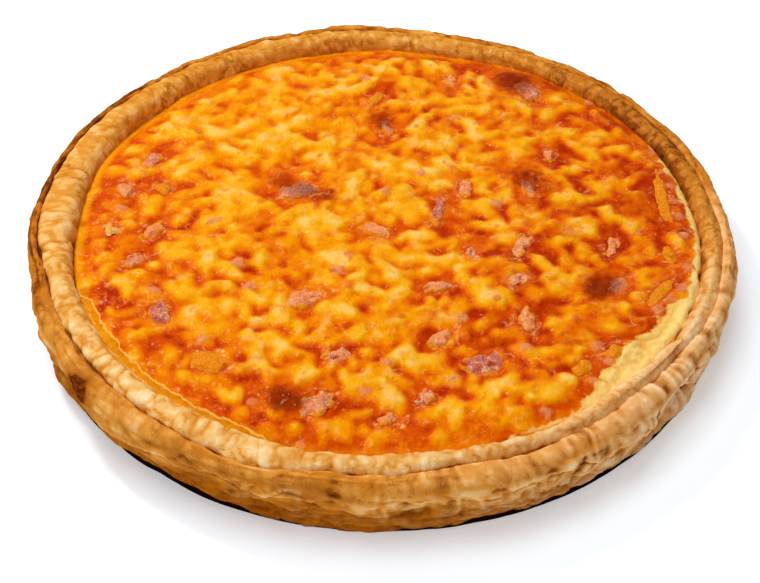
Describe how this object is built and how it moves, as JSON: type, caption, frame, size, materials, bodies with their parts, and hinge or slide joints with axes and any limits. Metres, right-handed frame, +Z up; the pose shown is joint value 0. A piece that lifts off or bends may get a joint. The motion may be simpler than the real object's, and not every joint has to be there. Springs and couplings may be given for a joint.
{
  "type": "savoury custard tart",
  "caption": "Open round savoury tart: puff pastry case with a rolled rim, filled with browned custard, cheese shreds and small pieces of ham.",
  "frame": {"origin": "middle of the flat underside of the pastry case, on the surface that the tart stands on", "axes": "+Z up through the filling; the side that faces -Y is the front"},
  "size_m": [0.2701, 0.271, 0.0289],
  "materials": {
    "crust": "baked puff pastry, matt with a faint butter shine",
    "custard": "glossy browned egg custard with melted cheese",
    "ham": "moist cooked ham",
    "onion": "glazed, slightly see-through onion"
  },
  "bodies": {
    "root": {"crust": "crust", "filling": "custard", "ham_01": "ham", "ham_02": "ham", "ham_03": "ham", "ham_04": "ham", "ham_05": "ham", "ham_06": "ham", "ham_07": "ham", "ham_08": "ham", "ham_09": "ham", "ham_10": "ham", "ham_11": "ham", "ham_12": "ham", "ham_13": "ham", "ham_14": "ham", "ham_15": "ham", "ham_16": "ham", "ham_17": "ham", "ham_18": "ham", "ham_19": "ham", "ham_20": "ham", "ham_21": "ham", "ham_22": "ham", "ham_23": "ham", "ham_24": "ham", "ham_25": "ham", "ham_26": "ham", "ham_27": "ham", "ham_28": "ham", "ham_29": "ham", "ham_30": "ham", "ham_31": "ham", "ham_32": "ham", "ham_33": "ham", "ham_34": "ham", "ham_35": "ham", "ham_36": "ham", "onion_flake": "onion"}
  },
  "joints": []
}
